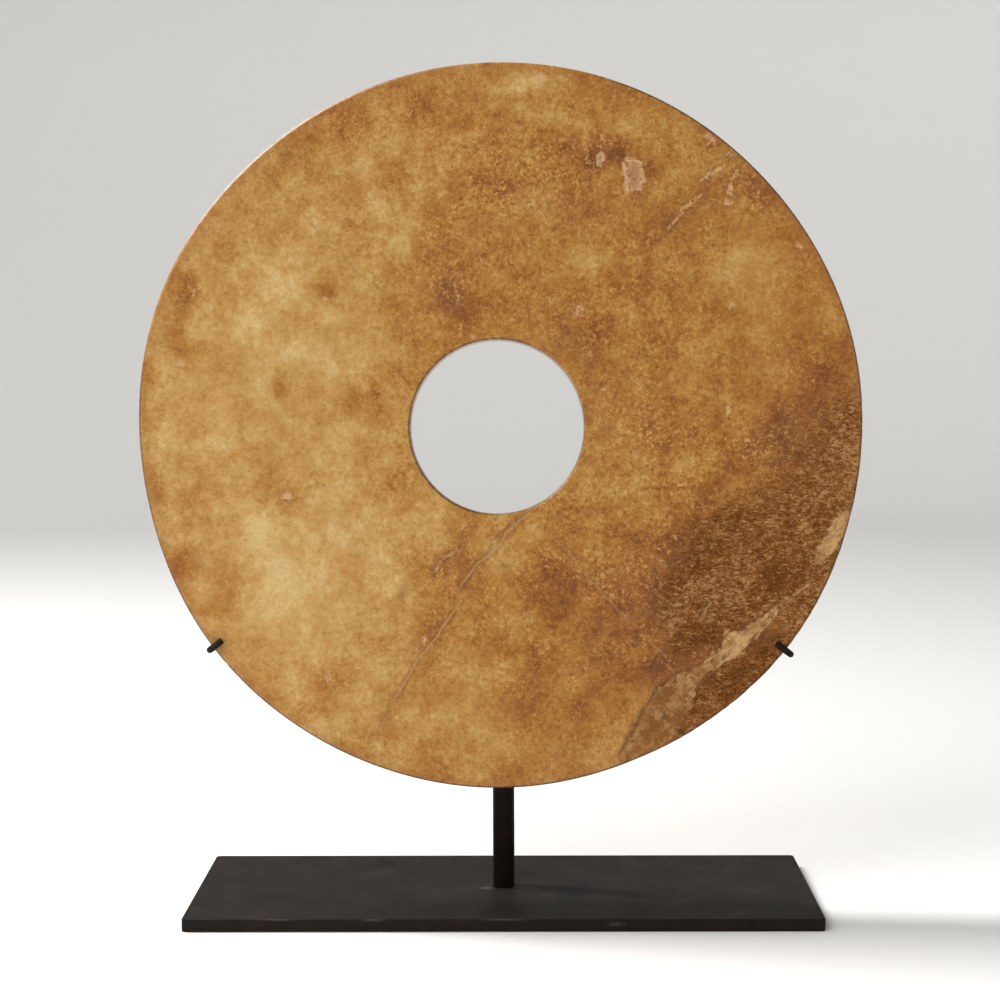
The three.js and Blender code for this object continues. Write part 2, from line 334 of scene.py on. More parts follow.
         (107.5, 109, 0.8, 0.9), (110.4, 107.5, 0.4, 0.8)],
        [(104.5, 124.5, 0.3, 0.8), (107, 127, 0.6, 0.8), (108.5, 129, 0.3, 0.8)],
        [(108, 124.5, 0.3, 0.8), (110.5, 127, 0.6, 0.8)],
        [(98, -83, 0.4, 0.2), (96, -87, 0.8, 0.3), (93, -92, 0.6, 0.2)],
        [(101, -93, 0.5, 0.3), (106, -92.5, 0.7, 0.3)],
        [(-28.7, -61.6, 0.1, 0.5), (-24, -60, 0.3, 0.5), (-19, -58, 0.2, 0.5), (-17.5, -56, -0.1, 0.5)],
        [(-31, -66, 0.0, 0.4), (-31.5, -69.5, 0.3, 0.4)],
        [(-44.5, -76, 0.4, 0.5), (-46, -78, 0.0, 0.5), (-47, -80, 0.3, 0.5)],
        [(-39.6, -101, 0.3, 0.6), (-38, -103, 0.0, 0.6), (-39, -105.5, 0.3, 0.6)],
        [(3, -66, 0.2, 0.4), (4, -68.5, 0.2, 0.4)],
    ],
    # open cracks: place x and z along each, and how strongly it shows
    "seams": [
        (1.0, [(14.8, -40.8), (9.2, -44.3), (3.4, -49.7), (0.9, -55.1), (-3.9, -59.8), (-9.8, -64.0),
               (-12.2, -67.0), (-17.5, -73.6), (-20.2, -78.0)]),
        (1.0, [(-16.5, -78.6), (-20.6, -85.5), (-26.4, -93.2), (-30.2, -99.3), (-37.9, -108.7),
               (-46.6, -122.7), (-53.1, -132.6)]),
        (0.5, [(21, -49), (30, -57), (38, -67), (49, -80), (57, -88), (65, -91)]),
        (0.6, [(67.5, -100), (73.5, -104), (79, -109.5)]),
        (0.7, [(81, -113), (84.5, -116)]),
        (0.5, [(55, -86), (60, -91), (65, -92)]),
    ],
    # closed cracks, seen as dark lines
    "darkSeams": [
        (0.25, [(-112, 120), (-106, 116), (-100, 108), (-88, 95), (-81, 85), (-73, 80), (-66, 71), (-58, 67),
                (-50, 57), (-43, 51)]),
        (0.5, [(11, -40.5), (5, -46), (-1, -52), (-6, -58.5), (-11, -64)]),
        (0.26, [(-11, -67.5), (-21, -80), (-32, -98)]),
        (0.3, [(-50, -127), (-55, -136), (-60, -147)]),
        (0.6, [(100, -53), (94, -61), (89, -71), (85, -76)]),
        (0.4, [(84, -80), (78, -90), (71, -102)]),
        (0.9, [(100, -79), (96, -85), (92, -93)]),
        (0.4, [(110, -80), (96, -97), (86, -109)]),
        (0.36, [(-54, 32), (-47, 25), (-40.5, 18.5)]),
        (0.75, [(91, -113), (80, -117), (72.5, -125), (66.5, -134), (62, -144), (57, -152), (53, -157)]),
    ],
    # small dark dots in the vein, and two at the lower left
    "darkDots": [
        (105, -109, 3.4, 1.6, 20, 1.2),
        (76.5, -136.8, 2.6, 1.7, 0, 1.5),
        (85, -144, 3.0, 2.0, 0, 1.2),
        (99, -111, 1.6, 1.2, 0, 1.2),
        (-112, -74, 1.0, 1.0, 0, 0.8),
        (-107, -54, 1.0, 1.0, 0, 0.8),
    ],
    # size of the noise that moves the drawn outlines, and how far it moves them
    "outlineWander": [(26, 5.0), (7, 1.6)],
    "lineWander": [(9, 0.6), (2.5, 0.7)],
    "veinWander": [(9, 1.6), (3, 1.2)],
}
farAway = 9.0  # the distance kept for places that no line comes near


def wander(places, steps):
    # Shifts the places by soft noise, which gives the drawn markings natural outlines
    moved = places.copy()
    for size, reach in steps:
        moved += reach * np.array([noise.noise_vector(place) for place in (places / size).tolist()])
    return moved


def softSpots(places, spots):
    # The sum of the soft spots at each place
    field = np.zeros(len(places))
    for x, z, halfWidth, halfHeight, turn, strength in spots:
        cosTurn, sinTurn = math.cos(math.radians(turn)), math.sin(math.radians(turn))
        across = ((places[:, 0] - x) * cosTurn + (places[:, 2] - z) * sinTurn) / halfWidth
        along = ((places[:, 2] - z) * cosTurn - (places[:, 0] - x) * sinTurn) / halfHeight
        field += strength * np.exp(-2 * (across ** 2 + along ** 2))
    return field


def nearestRun(places, path):
    # For each straight run of a path: share along it, distance, and the side that a place is on
    for start, end in zip(path, path[1:]):
        run = np.array(end[:2]) - np.array(start[:2])
        offset = places[:, [0, 2]] - np.array(start[:2])
        share = np.clip(offset @ run / (run @ run), 0, 1)
        distance = np.hypot(*(offset - share[:, None] * run).T)
        side = np.sign(offset @ np.array((-run[1], run[0])))
        yield start, end, share, distance, side


def veinFields(places, paths):
    # How far inside the nearest vein a place is, in mm and less than nothing outside it, and how pale it is
    inside = np.full(len(places), -farAway)
    pale = np.zeros(len(places))
    for path in paths:
        for start, end, share, distance, _ in nearestRun(places, path):
            depth = start[2] + share * (end[2] - start[2]) - distance
            pale = np.where(depth > inside, start[3] + share * (end[3] - start[3]), pale)
            inside = np.maximum(inside, depth)
    return inside, pale


def seamFields(places, seams):
    # Distance from the nearest crack, with a sign for its side, and how strongly the crack shows there
    nearest = np.full(len(places), farAway)
    strength = np.zeros(len(places))
    reach = 4  # past this far from a crack nothing of it shows
    for shown, path in seams:
        lengths = [math.dist(start, end) for start, end in zip(path, path[1:])]
        before = 0
        for length, (_, _, share, distance, side) in zip(lengths, nearestRun(places, path)):
            closer = distance < np.abs(nearest)
            nearest[closer] = (distance * np.where(side == 0, 1, side))[closer]
            along = before + share * length
            fromEnd = np.minimum(along, sum(lengths) - along)
            fade = np.clip(fromEnd / disc["seamFade"], 0, 1) * np.clip(reach - distance, 0, 1)
            strength[closer] = (shown * fade)[closer]
            before += length
    return nearest, strength


def paintMarkings(mesh, places):
    # Stores each kind of marking as an attribute of the mesh, for the stone's material to read
    halfThickness = disc["thickness"] / 2
    showing = np.interp(places[:, 1], [-halfThickness, halfThickness], [1, disc["backShare"]])
    frontOnly = np.clip(showing * 4 - 3, 0, 1)
    behindFace = halfThickness - np.abs(places[:, 1])
    soft = wander(places, markings["outlineWander"])
    sharp = wander(places, markings["lineWander"])
    seam, seamShows = seamFields(sharp, markings["seams"])
    darkSeam, darkSeamShows = seamFields(sharp, markings["darkSeams"])
    vein, veinPale = veinFields(wander(places, markings["veinWander"]), markings["veins"])
    streak, streakPale = veinFields(sharp, markings["streaks"])
    angle = np.arctan2(places[:, 2], places[:, 0])
    fromRim = rimRadius(angle) - np.hypot(places[:, 0], places[:, 2])
    hole = disc["holeShift"]
    fromHole = np.hypot(places[:, 0] - hole[0], places[:, 2] - hole[1]) - disc["holeRadius"]
    # Painted shade along the edges turned away from the key light: the dark line is missing at the rim's
    # upper left and at the hole's lower right
    direction, end, softness = disc["rimShadeGap"]
    rimShade = np.clip((end - np.cos(angle - math.radians(direction))) / softness, 0, 1)
    direction, end, softness = disc["holeShade"]
    holeShade = np.clip((np.cos(angle - math.radians(direction)) - end) / softness, 0, 1)
    fields = {
        "patina": markings["patinaBase"] + softSpots(soft, markings["patina"]) * showing,
        "mauve": softSpots(soft, markings["mauve"]) * showing,
        "rust": softSpots(soft, markings["rust"]) * showing,
        "crust": softSpots(soft, markings["crust"]) * showing,
        "paleFelt": softSpots(soft, markings["paleFelt"]),
        "pale": softSpots(sharp, markings["pale"]) * frontOnly,
        "vein": vein - disc["veinLoss"] * (1 - showing),
        "veinPale": veinPale,
        "streak": streak - disc["veinLoss"] * (1 - showing),
        "streakPale": streakPale,
        "darkDots": softSpots(sharp, markings["darkDots"]) * frontOnly,
        "seam": seam,
        "seamShows": seamShows * showing,
        "darkSeam": darkSeam,
        "darkSeamShows": darkSeamShows * showing,
        "fromRim": fromRim,
        "fromEdge": np.minimum(fromRim, fromHole),
        "edgeShade": np.where(fromRim < fromHole, rimShade, holeShade),
        "mottle": 1 + softSpots(soft, markings["mottle"]),
        "wall": np.clip((behindFace - 0.2) / 0.8, 0, 1),  # in full from 1 mm behind a face
    }
    for name, values in fields.items():
        mesh.attributes.new(name, "FLOAT", "POINT").data.foreach_set("value", values.astype(np.float32))
    return fields


def surfaceRelief(places, fields):
    # How deep the surface lies below the ground face, in mm, at each place of the disc
    roll = np.array([noise.noise(place) for place in (places / disc["undulationSize"]).tolist()])
    grain = np.array([noise.noise(place) for place in (places / disc["crustGrain"]).tolist()])
    # The crust and the vein sink in softly, the vein over 2 mm to each side of its outline
    crust = np.clip(fields["crust"] * 1.6 - 0.4, 0, 1)
    vein = np.clip(fields["vein"] / 4 + 0.5, 0, 1)
    seam = np.exp(-np.abs(fields["seam"]) / disc["seamHalfWidth"]) * fields["seamShows"]
    chips = np.clip(fields["pale"] - 0.5, 0, disc["chipDepth"]) * (fields["fromRim"] < disc["chipBand"])
    return (
        disc["undulation"] * (0.5 + roll)
        + disc["crustRelief"] * crust * (0.6 + grain)
        + disc["veinDepth"] * vein
        + disc["seamDepth"] * seam
        + chips
    )


def makeDisc(material):
    halfThickness = disc["thickness"] / 2
    bm = bmesh.new()
    corners = [
        (disc["holeRadius"], -halfThickness),
        (disc["radius"], -halfThickness),
        (disc["radius"], halfThickness),
        (disc["holeRadius"], halfThickness),
    ]
    section = bm.faces.new([bm.verts.new((x, y, 0)) for x, y in corners])
    bevel(bm, section.verts[:], disc["arris"], disc["arrisSteps"], "VERTICES")
    bmesh.ops.delete(bm, geom=bm.faces[:], context="FACES_ONLY")

    # The long edges of the section are its front, its back and its two walls
    rings = {"front": disc["frontRings"], "back": disc["backRings"], "wall": disc["edgeRings"]}
    sides = {side: [] for side in rings}
    for edge in bm.edges:
        if edge.calc_length() > halfThickness:
            middle = sum(vert.co.y for vert in edge.verts) / 2
            onFace = abs(middle) > 0.99 * halfThickness
            sides[("front" if middle < 0 else "back") if onFace else "wall"].append(edge)
    for side, edges in sides.items():
        bmesh.ops.subdivide_edges(bm, edges=edges, cuts=rings[side])
    bmesh.ops.spin(bm, geom=bm.verts[:] + bm.edges[:], cent=(0, 0, 0), axis=(0, 1, 0),
                   angle=2 * math.pi, steps=disc["stepsAround"], use_merge=True)

    # The hole's shift fades out towards the rim, and the rim's waves towards the hole
    width = disc["radius"] - disc["holeRadius"]
    for vert in bm.verts:
        radius = math.hypot(vert.co.x, vert.co.z)
        angle = math.atan2(vert.co.z, vert.co.x)
        share = min(max((radius - disc["holeRadius"]) / width, 0), 1)
        radius += share * (rimRadius(angle) - disc["radius"])
        vert.co.x = radius * math.cos(angle) + (1 - share) * disc["holeShift"][0]
        vert.co.z = radius * math.sin(angle) + (1 - share) * disc["holeShift"][1]
    mesh = finishPiece(bm, "stoneDisc", material, "disc").data
    places = np.empty(len(mesh.vertices) * 3)
    mesh.vertices.foreach_get("co", places)
    places = places.reshape(-1, 3)
    fields = paintMarkings(mesh, places)
    normals = np.empty(len(mesh.vertices) * 3)
    mesh.vertices.foreach_get("normal", normals)
    lowered = places - surfaceRelief(places, fields)[:, None] * normals.reshape(-1, 3)
    mesh.vertices.foreach_set("co", lowered.ravel())
    mesh.transform(leaning)
    mesh.update()


# The patterns in the stone: how each lies, its largest cells' size, its detail, roughness and distortion
stonePatterns = {
    "clouds": ("plain", 24, 4, 0.82, 0.1),
    "fineGrain": ("plain", 2.4, 3, 0.9, 0.3),
    "veils": ("plain", 40, 3, 0.7, 0),
    "fray": ("plain", 5, 3, 0.8, 0),  # breaks up the outlines of the drawn markings
    "flecks": ("plain", 1.9, 3, 0.75, 0.8),
    "fleckLines": ("plain", 3.0, 1, 0.5, 0.7),
    "fleckPatches": ("plain", 22, 3, 0.7, 0),
    "specks": ("plain", 3.4, 1, 0.5, 0),
    "fibres": ("combed", 1.15, 2, 0.85, 0.9),
    "fibreLines": ("combed", 2.0, 1, 0.5, 0.6),
    "feltStreaks": ("slanting", 5, 2, 0.7, 0.3),
    "feather": ("alongVein", 2.4, 2, 0.7, 0.4),
    "crackGaps": ("plain", 3.5, 2, 0.6, 0),
}

stoneColours = {
    "honeyToBrown": [
        (0.0, "CDAF76"), (0.1, "C5A265"), (0.22, "BC9250"), (0.34, "B1833E"),
        (0.48, "A57026"), (0.66, "935A0D"), (0.86, "7E4303"), (1.0, "693403"),
    ],
    "veil": "AA783F",
    "mauve": "703C18",
    "rust": "96541A",
    "fleck": "CE9A54",
    "pore": "683A0E",
    "speck": "80501C",
    "felt": [(0.36, "4E2A0C"), (0.49, "693D17"), (0.58, "85572D"), (0.70, "AF875D")],
    "veinEdge": "5E3212",
    "veinDark": "80532C",
    "veinPale": "C49D69",
    "streakHollow": "6A3A18",
    "streakDark": "A8743F",
    "streakPale": "D0A570",
    "spot": "D2A97E",
    "spotMiddle": "A87C56",
    "crackShade": "6B3C12",
    "crackDust": "BC8C60",
    "closedCrack": "44220C",
    "darkDot": "3F3324",
    "rimBand": "8C4E18",
    # the walls' darkening: partly the ground edges' own stain, partly painted shade
    "wall": "4A2A10",
    # painted shade: the dark line along the edges turned away from the key light
    "paintedEdgeShade": "35200E",
}


def stoneMaterial():
    # Nephrite altered to honey and brown by burial, ground flat by hand and rubbed to a satin skin: soft
    # clouds of colour under a fine grain of pale flecks, with dull, felted stone where that skin is lost.
    material, add = startMaterial("weatheredNephriteHandGround")
    hues = stoneColours
    shown = {
        name: add("Attribute", {"attribute_name": name}).outputs["Fac"]
        for name in (
            "patina", "mottle", "mauve", "rust", "crust", "paleFelt", "pale", "vein", "veinPale",
            "streak", "streakPale", "darkDots", "seam", "seamShows", "darkSeam", "darkSeamShows",
            "fromRim", "fromEdge", "edgeShade", "wall",
        )
    }

    # The disc's own frame, in millimetres, and the frames of the patterns that run in one direction
    plain = add("Mapping", texture, {
        "Vector": add("TexCoord").outputs["Object"], "Location": discMiddle * mm,
        "Rotation": (-math.radians(disc["lean"]), 0, 0), "Scale": (mm, mm, mm)})
    lies = {
        "plain": plain,
        "combed": add("Mapping", None, {
            "Vector": plain, "Rotation": (0, math.radians(12), 0), "Scale": (0.5, 1, 1)}),
        "slanting": add("Mapping", texture, {
            "Vector": plain, "Rotation": (0, math.radians(-50), 0), "Scale": (3.5, 1, 1)}),
        "alongVein": add("Mapping", texture, {
            "Vector": plain, "Rotation": (0, math.radians(-42), 0), "Scale": (5, 1, 1)}),
    }
    grain = {
        name: add("TexNoise", None, {
            "Vector": lies[lie], "Scale": 1 / size, "Detail": detail, "Roughness": roughness,
            "Distortion": distortion})
        for name, (lie, size, detail, roughness, distortion) in stonePatterns.items()
    }

    def varied(value, pattern, gain, middle=0.5):
        # A value that rises and falls with a pattern
        swing = add("Math", plus, {0: pattern, 1: -middle})
        return add("Math", timesPlus, {0: swing, 1: gain, 2: value})

    def frayed(field, amount, low, high, pattern=grain["fray"]):
        # A mask from a drawn field, its outline broken by a pattern
        broken = add("Math", timesPlus, {0: pattern, 1: amount, 2: field})
        return add("MapRange", softStep, {0: broken, 1: low + amount / 2, 2: high + amount / 2})

    def crooked(pattern, halfWidth):
        # Crooked lines, where a pattern passes through its middle value
        offMiddle = add("Math", {"operation": "ABSOLUTE"}, {
            0: add("Math", plus, {0: pattern, 1: -0.5})})
        return add("MapRange", softStep, {0: offMiddle, 1: halfWidth, 2: halfWidth * 0.3})

    def tinted(under, over, mask, strength=1.0):
        # A colour laid over another where a mask shows, as strongly as given
        under, over = (linear(colour) if isinstance(colour, str) else colour for colour in (under, over))
        cover = add("Math", times, {0: mask, 1: strength})
        return add("Mix", mixColours, {0: cover, 6: under, 7: over})

    # Clouds of darker and paler stone, and a finer grain that is stronger where the stone is dark
    mottle = shown["mottle"]
    cloudGain = add("Math", times, {0: mottle, 1: 1.5})
    grainGain = add("Math", times, {
        0: mottle,
        1: add("MapRange", None, {0: shown["patina"], 1: 0.15, 2: 0.6, 3: 0.55, 4: 1.05})})
    patina = varied(shown["patina"], grain["clouds"], cloudGain)
    patina = varied(patina, grain["fineGrain"], grainGain)
    colour = add("ValToRGB", None, {0: patina}, hues["honeyToBrown"])

    # Pinkish veils, and the mauve and rusty stains
    veils = add("MapRange", softStep, {0: grain["veils"], 1: 0.46, 2: 0.62})
    colour = tinted(colour, hues["veil"], veils, 0.16)
    colour = tinted(colour, hues["mauve"], frayed(shown["mauve"], 0.9, 0.1, 1.0), 0.4)
    colour = tinted(colour, hues["rust"], frayed(shown["rust"], 0.8, 0.15, 1.1), 0.45)

    # Pale flecks, short and crooked, thicker in some patches, with darker pores between them
    fleckGain = add("Math", times, {
        0: mottle,
        1: add("MapRange", None, {0: shown["patina"], 1: 0.15, 2: 0.55, 3: 0.28, 4: 1.1})})
    fleckShapes = add("MapRange", softStep, {0: grain["flecks"], 1: 0.52, 2: 0.66, 4: 0.9})
    linesShow = add("MapRange", softStep, {0: grain["fray"], 1: 0.50, 2: 0.62, 4: 0.75})
    lines = add("Math", times, {0: crooked(grain["fleckLines"], 0.045), 1: linesShow})
    flecks = add("Math", {"operation": "MAXIMUM"}, {0: fleckShapes, 1: lines})
    patches = add("MapRange", softStep, {
        0: grain["fleckPatches"], 1: 0.40, 2: 0.62, 3: 0.22, 4: 0.82})
    fleckCover = add("Math", times, {0: flecks, 1: patches})
    colour = tinted(colour, hues["fleck"], fleckCover, fleckGain)
    pores = add("MapRange", softStep, {0: grain["flecks"], 1: 0.47, 2: 0.32, 4: 0.55})
    colour = tinted(colour, hues["pore"], pores, fleckGain)

    # Small brown specks, seen best where the stone is pale
    specks = add("MapRange", softStep, {0: grain["specks"], 1: 0.67, 2: 0.76})
    colour = tinted(colour, hues["speck"], specks, 0.28)

    # The felted crust: short pale fibres on dark reddish brown
    crust = frayed(shown["crust"], 0.9, 0.12, 0.9)
    felt = add("Math", timesPlus, {0: crooked(grain["fibreLines"], 0.08), 1: 0.07, 2: grain["fibres"]})
    felt = varied(felt, patina, -0.14, 0.7)
    felt = varied(felt, grain["feltStreaks"], 0.27)
    felt = add("Math", timesPlus, {0: shown["paleFelt"], 1: 0.07, 2: felt})
    feltColour = add("ValToRGB", None, {0: felt}, hues["felt"])
    colour = tinted(colour, feltColour, crust, 0.85)

    # The tan vein, with a dark edge. It frays along its own direction.
    grainSum = add("Math", plus, {0: grain["fray"], 1: grain["flecks"]})
    ragged = add("Math", times, {0: grainSum, 1: 0.5})
    raggedSum = add("Math", plus, {0: ragged, 1: grain["feather"]})
    feathered = add("Math", times, {0: raggedSum, 1: 0.5})
    colour = tinted(colour, hues["veinEdge"], frayed(shown["vein"], 5, -3.5, -0.4), 0.4)
    veinClouds = add("MapRange", softStep, {0: grain["fray"], 1: 0.38, 2: 0.62})
    veinPale = add("Math", times, {0: shown["veinPale"], 1: 0.8})
    veinPale = varied(veinPale, veinClouds, 0.6)
    veinPale = varied(veinPale, grain["feather"], 0.9)
    veinColour = tinted(hues["veinDark"], hues["veinPale"], veinPale)
    veinShape = frayed(shown["vein"], 14, -0.8, 0.8, feathered)
    veinCover = add("MapRange", None, {0: grain["feather"], 1: 0.36, 2: 0.56, 3: 0.6, 4: 0.95})
    colour = tinted(colour, veinColour, veinShape, veinCover)

    # Thin streaks of the same tan stone, in a soft dark hollow
    colour = tinted(colour, hues["streakHollow"], frayed(shown["streak"], 3, -3.5, 0.5), 0.35)
    streakColour = tinted(hues["streakDark"], hues["streakPale"], shown["streakPale"])
    streakShape = frayed(shown["streak"], 3, -0.8, 0.4, ragged)
    streakCover = add("MapRange", softStep, {0: grain["flecks"], 1: 0.34, 2: 0.56, 4: 0.85})
    colour = tinted(colour, streakColour, streakShape, streakCover)

    # Pale spots and chips, with a darker middle where they are strongest
    spotMiddle = frayed(shown["pale"], 1.4, 0.95, 1.3, ragged)
    spotColour = tinted(hues["spot"], hues["spotMiddle"], spotMiddle, 0.8)
    spots = frayed(shown["pale"], 1.4, 0.4, 0.8, ragged)
    spotCover = add("MapRange", softStep, {0: grain["flecks"], 1: 0.3, 2: 0.55, 4: 0.75})
    colour = tinted(colour, spotColour, spots, spotCover)

    # Cracks: open ones hold pale dust in a soft shade, closed ones are dark lines
    gaps = add("MapRange", softStep, {0: grain["crackGaps"], 1: 0.3, 2: 0.5})

    def crackLine(name, halfWidth):
        # A mask along the cracks of one kind, with gaps in it
        away = add("Math", {"operation": "ABSOLUTE"}, {0: shown[name]})
        line = add("MapRange", softStep, {0: away, 1: halfWidth * 1.5, 2: halfWidth * 0.4})
        gappy = add("Math", times, {0: line, 1: gaps})
        return add("Math", times, {0: gappy, 1: shown[name + "Shows"]})

    colour = tinted(colour, hues["crackShade"], crackLine("seam", 1.7), 0.42)
    colour = tinted(colour, hues["crackDust"], crackLine("seam", 0.5), 0.6)
    colour = tinted(colour, hues["closedCrack"], crackLine("darkSeam", 0.8), 0.7)
    colour = tinted(colour, hues["darkDot"], frayed(shown["darkDots"], 0.5, 0.4, 0.7), 0.6)

    # The rim has taken up more brown, less so under the crust
    rimBand = add("Math", times, {0: frayed(shown["fromRim"], -6, 8, 1), 1: 0.26})
    rimBand = add("Math", timesPlus, {0: crust, 1: -0.18, 2: rimBand})
    colour = tinted(colour, hues["rimBand"], rimBand)

    # The disc's walls are darkened, partly as the ground edges' own stain and partly as painted shade, and
    # a dark line of painted shade runs along the edges turned away from the key light
    colour = tinted(colour, hues["wall"], shown["wall"], 0.5)
    paintedEdgeShade = add("MapRange", softStep, {0: shown["fromEdge"], 1: 1.3, 2: 0.6, 4: 0.72})
    onFace = add("MapRange", None, {0: shown["wall"], 3: 1.0, 4: 0.0})
    faceShade = add("Math", times, {0: shown["edgeShade"], 1: onFace})
    colour = tinted(colour, hues["paintedEdgeShade"], paintedEdgeShade, faceShade)

    # Satin where the skin is whole, dull where it is lost, and smoother at the handled edges
    dull = add("Math", {"operation": "MAXIMUM"}, {0: crust, 1: veinShape})
    dullGrain = add("Math", timesPlus, {0: grain["flecks"], 1: 0.4, 2: dull})
    roughness = add("MapRange", None, {0: dullGrain, 1: 0.1, 2: 1.2, 3: 0.40, 4: 0.75})
    handled = add("MapRange", softStep, {0: shown["fromEdge"], 1: 1.4, 2: 0.9})
    roughness = add("Math", timesPlus, {0: handled, 1: -0.16, 2: roughness})
    dullest = add("Math", {"operation": "SUBTRACT"}, {0: dull, 1: handled})
    gloss = add("MapRange", None, {0: dullest, 1: -1.0, 2: 1.0, 3: 0.50, 4: 0.08})

    # A fine tooth everywhere, with the fibres standing out of the crust, worn down at the edges
    tooth = add("Math", times, {0: grain["fineGrain"], 1: 0.5})
    tooth = add("Math", timesPlus, {0: grain["flecks"], 1: 0.4, 2: tooth})
    fibresShow = add("MapRange", softStep, {0: shown["crust"], 1: 0.3, 2: 0.9})
    tooth = add("Math", timesPlus, {0: grain["fibres"], 1: fibresShow, 2: tooth})
    unworn = add("Math", timesPlus, {0: handled, 1: -0.8, 2: 1.0})
    height = add("Math", times, {0: tooth, 1: unworn})
    bump = add("Bump", None, {"Height": height, "Strength": 1.0, "Distance": 0.16 * mm})
    shader = add("BsdfPrincipled", None, {
        "Base Color": colour, "Roughness": roughness, "Specular IOR Level": gloss, "Normal": bump,
        "IOR": 1.6})
    add("OutputMaterial", None, {"Surface": shader})
    return material


# The stand

steelFinish = {
    "cloudSize": 24,
    "gritSize": 0.9,
    "clouds": [(0.34, "221814"), (0.46, "1A1511"), (0.56, "1F1813"), (0.66, "161411")],
    "speck": "5C4C42",
    "scuff": "6E5B50",
    # scuffs in the wax: place, half size, how strongly they show
    "scuffs": [
        ((-8.5, -4.5, 6), (4.5, 3.0, 2.0), 0.5),
        ((11, -4, 6), (9, 2.5, 2.0), 0.25),
        ((1, -57.7, 6), (15, 1.0, 1.0), 0.45),
        ((-60, -57.7, 5.8), (8, 1.0, 1.2), 0.3),
        ((-104, -57.7, 6), (12, 1.0, 1.0), 0.3),
        ((52, -57.7, 3.6), (6, 1.0, 1.6), 0.25),
    ],
}


def steelMaterial():
    # Mild steel, blackened and waxed: nearly black, matt, with faint brown and grey clouds and small scuffs
    material, add = startMaterial("blackenedSteelWaxed")
    local = add("Mapping", texture, {
        "Vector": add("TexCoord").outputs["Object"], "Scale": (mm, mm, mm)})
    clouds = add("TexNoise", None, {
        "Vector": local, "Scale": 1 / steelFinish["cloudSize"], "Detail": 4, "Roughness": 0.65})
    grit = add("TexNoise", None, {
        "Vector": local, "Scale": 1 / steelFinish["gritSize"], "Detail": 2, "Roughness": 0.7})
    colour = add("ValToRGB", None, {0: clouds}, steelFinish["clouds"])
    specks = add("MapRange", softStep, {0: grit, 1: 0.66, 2: 0.78, 4: 0.25})
    colour = add("Mix", mixColours, {0: specks, 6: colour, 7: linear(steelFinish["speck"])})
    for place, size, shown in steelFinish["scuffs"]:
        away = add("Mapping", texture, {"Vector": local, "Location": place, "Scale": size})
        away = add("VectorMath", {"operation": "LENGTH"}, {0: away}).outputs["Value"]
        ragged = add("Math", plus, {0: away, 1: grit})
        scuff = add("MapRange", softStep, {0: ragged, 1: 1.5, 2: 0.6, 4: shown})
        colour = add("Mix", mixColours, {0: scuff, 6: colour, 7: linear(steelFinish["scuff"])})
    roughness = add("MapRange", None, {0: clouds, 1: 0.3, 2: 0.7, 3: 0.56, 4: 0.70})
    bump = add("Bump", None, {"Height": grit, "Strength": 1.0, "Distance": 0.02 * mm})
    shader = add("BsdfPrincipled", None, {
        "Base Color": colour, "Roughness": roughness, "Specular IOR Level": 0.11, "Normal": bump,
        "IOR": 1.5})
    add("OutputMaterial", None, {"Surface": shader})
    return material


footPlate = {
    "cornerRadius": 2,
    "arris": 0.45,
    "cornerSteps": 6,
    "arrisSteps": 3,
}


def makeFootPlate(material):
    low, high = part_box("base_plate")
    bm = bmesh.new()
    toBox = Matrix.Translation((low + high) / 2) @ Matrix.Diagonal((*(high - low), 1))
    bmesh.ops.create_cube(bm, size=1, matrix=toBox)
    upright = [edge for edge in bm.edges if abs(edge.verts[0].co.z - edge.verts[1].co.z) > mm]
    bevel(bm, upright, footPlate["cornerRadius"] * mm, footPlate["cornerSteps"])
    level = [edge for edge in bm.edges if abs(edge.verts[0].co.z - edge.verts[1].co.z) < mm / 100]
    bevel(bm, level, footPlate["arris"] * mm, footPlate["arrisSteps"])
    keepFlats(finishPiece(bm, "footPlate", material, "base_plate"))


def roundEnds(bm, axis, ends, offset):
    # Rounds the end edges of a bar, at these places along its axis
    edges = [
        edge for edge in bm.edges
        if any(all(abs(vert.co[axis] - end) < mm / 100 for vert in edge.verts) for end in ends)
    ]
    bevel(bm, edges, offset, roundingSteps)


post = {
    "sides": 64,
    "rounding": 0.6,
}


def makePost(material):
    low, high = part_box("post")
    bm = bmesh.new()
    radius = (high.x - low.x) / 2
    bmesh.ops.create_cone(bm, cap_ends=True, segments=post["sides"], radius1=radius, radius2=radius,
                          depth=high.z - low.z, matrix=Matrix.Translation((low + high) / 2))
    roundEnds(bm, 2, [high.z], post["rounding"] * mm)
    keepFlats(finishPiece(bm, "standPost", material, "post"))


def makeCrossBar(material):
    low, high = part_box("cross_bar")
    bm = bmesh.new()
    alongX = Matrix.Rotation(math.pi / 2, 4, "Y")
    radius = cradle["barRadius"] * mm
    bmesh.ops.create_cone(bm, cap_ends=True, segments=cradle["barSides"], radius1=radius, radius2=radius,
                          depth=high.x - low.x, matrix=Matrix.Translation((low + high) / 2) @ alongX)
    roundEnds(bm, 0, [low.x, high.x], cradle["barRounding"] * mm)
    keepFlats(finishPiece(bm, "crossBar", material, "cross_bar"))


